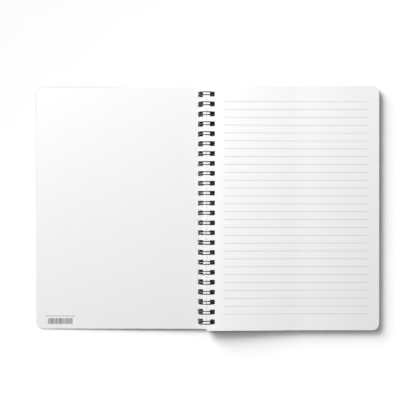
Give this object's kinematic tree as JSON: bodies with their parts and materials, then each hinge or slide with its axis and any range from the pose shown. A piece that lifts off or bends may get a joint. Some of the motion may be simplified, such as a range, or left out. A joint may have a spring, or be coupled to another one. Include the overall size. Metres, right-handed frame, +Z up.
{
  "type": "spiral notebook",
  "caption": "Open spiral notebook with a plain white card cover turned to the left, a ruled page block and a black twin-loop wire binding.",
  "frame": {"origin": "on the table under the middle of the spine, straight below the axis of the wire rings", "axes": "+X across the pages towards their fore edge, +Y along the spine towards the head of the pages, +Z up from the table"},
  "size_m": [0.2951, 0.21, 0.0141],
  "materials": {
    "cover_card": "satin",
    "page_paper": "matte",
    "black_wire": "gloss"
  },
  "bodies": {
    "back_body": {"back_cover": "cover_card", "wire_binding": "black_wire"},
    "front_body": {"front_cover": "cover_card"},
    "pages_body": {"page_block": "page_paper"}
  },
  "joints": [
    {"name": "front_cover_hinge", "type": "hinge", "parent": "back_body", "child": "front_body", "pos_m": [0, 0, 0.007], "axis": [0, 1, 0], "range_deg": [0, 183.4]},
    {"name": "page_block_hinge", "type": "hinge", "parent": "back_body", "child": "pages_body", "pos_m": [0, 0, 0.007], "axis": [0, 1, 0], "range_deg": [-183.4, 0]}
  ]
}
